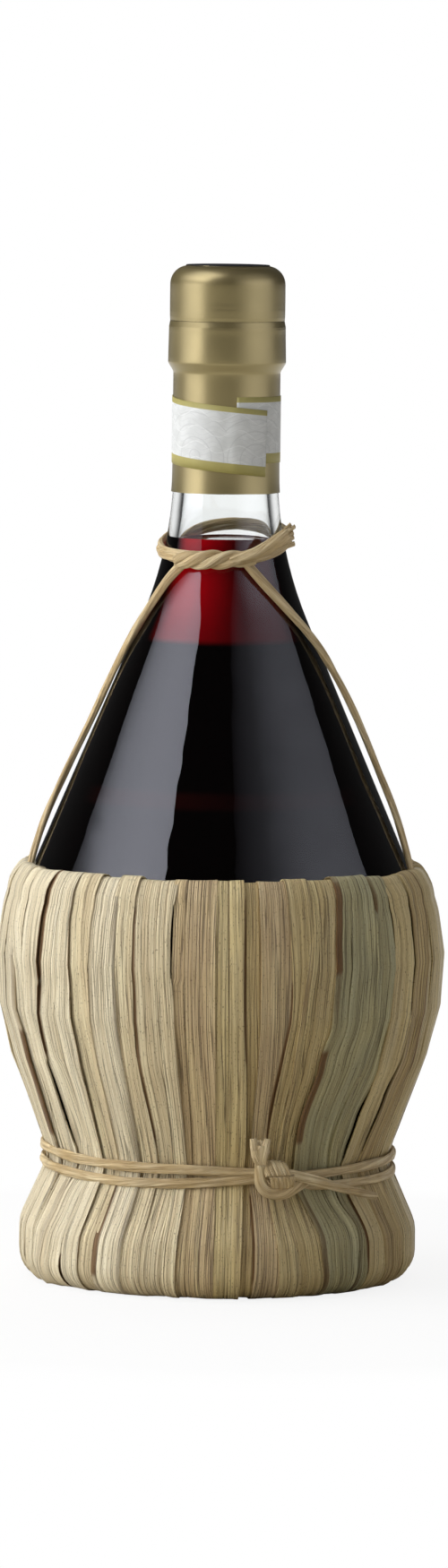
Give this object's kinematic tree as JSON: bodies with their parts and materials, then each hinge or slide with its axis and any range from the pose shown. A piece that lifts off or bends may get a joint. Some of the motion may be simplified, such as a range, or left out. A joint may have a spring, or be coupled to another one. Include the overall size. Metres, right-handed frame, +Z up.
{
  "type": "straw covered wine flask",
  "caption": "Round bottomed glass wine flask with cork and foil capsule, standing in a corded basket of straw blades.",
  "frame": {"origin": "centre of the base on the table plane, on the bottle's axis", "axes": "+Z up along the bottle's axis, -Y towards the front, where the cords are knotted, +X to the viewer's right"},
  "size_m": [0.1168, 0.1168, 0.2636],
  "materials": {
    "flask_glass": "gloss",
    "wine": "gloss",
    "cork_bark": "matte",
    "capsule_film": "satin",
    "seal_paper": "matte",
    "packed_straw": "matte",
    "straw": "matte",
    "raffia_cord": "matte"
  },
  "bodies": {
    "bottle": {"base_ring": "packed_straw", "capsule_skirt": "capsule_film", "glass_flask": "flask_glass", "left_cord_leg": "raffia_cord", "neck_cord": "raffia_cord", "right_cord_leg": "raffia_cord", "rim_cord": "raffia_cord", "seal_strip": "seal_paper", "waist_cord": "raffia_cord", "wine": "wine", "straw_blade_01": "straw", "straw_blade_02": "straw", "straw_blade_03": "straw", "straw_blade_04": "straw", "straw_blade_05": "straw", "straw_blade_06": "straw", "straw_blade_07": "straw", "straw_blade_08": "straw", "straw_blade_09": "straw", "straw_blade_10": "straw", "straw_blade_11": "straw", "straw_blade_12": "straw", "straw_blade_13": "straw", "straw_blade_14": "straw", "straw_blade_15": "straw", "straw_blade_16": "straw", "straw_blade_17": "straw", "straw_blade_18": "straw", "straw_blade_19": "straw", "straw_blade_20": "straw", "straw_blade_21": "straw", "straw_blade_22": "straw", "straw_blade_23": "straw", "straw_blade_24": "straw", "straw_blade_25": "straw", "straw_blade_26": "straw", "straw_blade_27": "straw", "straw_blade_28": "straw", "straw_blade_29": "straw", "straw_blade_30": "straw", "straw_blade_31": "straw", "straw_blade_32": "straw", "straw_blade_33": "straw", "straw_blade_34": "straw", "straw_blade_35": "straw", "straw_blade_36": "straw", "straw_blade_37": "straw", "straw_blade_38": "straw"},
    "cork": {"cork": "cork_bark"},
    "capsule_cap": {"capsule_cap": "capsule_film"}
  },
  "joints": [
    {"name": "cork_draw", "type": "slide", "parent": "bottle", "child": "cork", "axis": [0, 0, 1], "range_m": [0, 0.05]},
    {"name": "cap_lift", "type": "slide", "parent": "cork", "child": "capsule_cap", "axis": [0, 0, 1], "range_m": [0, 0.04]}
  ]
}
